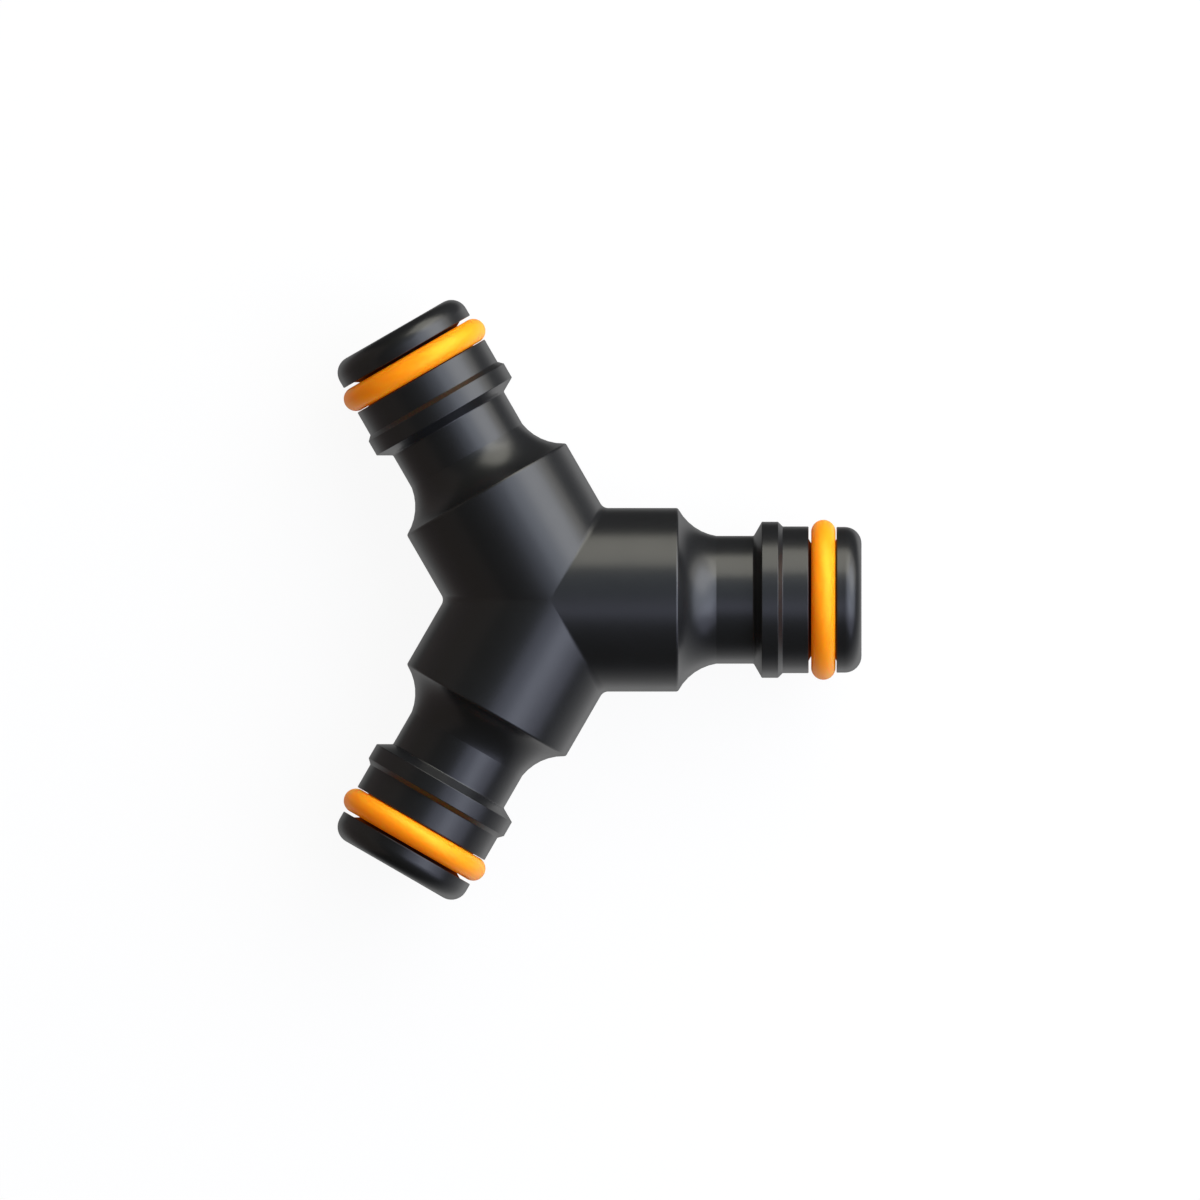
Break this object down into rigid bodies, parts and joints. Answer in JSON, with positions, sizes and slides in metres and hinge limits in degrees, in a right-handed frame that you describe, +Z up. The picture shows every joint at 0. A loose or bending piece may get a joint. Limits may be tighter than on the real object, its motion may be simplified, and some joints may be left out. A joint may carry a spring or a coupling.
{
  "type": "garden hose y coupling",
  "caption": "Moulded Y coupling that joins garden hoses by snap nipples at equal angles, each with a sealing O-ring in its groove and a waterway to the centre.",
  "frame": {"origin": "the point where the axes of the three arms cross, which is the centroid", "axes": "+X along the right arm towards its mouth, +Y along the longest extent, +Z up, square to the plane of the arms"},
  "size_m": [0.0525, 0.0602, 0.0184],
  "materials": {
    "black_plastic": "satin",
    "orange_rubber": "smooth"
  },
  "bodies": {
    "root": {"y_body": "black_plastic", "o_ring_right": "orange_rubber", "o_ring_upper_left": "orange_rubber", "o_ring_lower_left": "orange_rubber"}
  },
  "joints": []
}
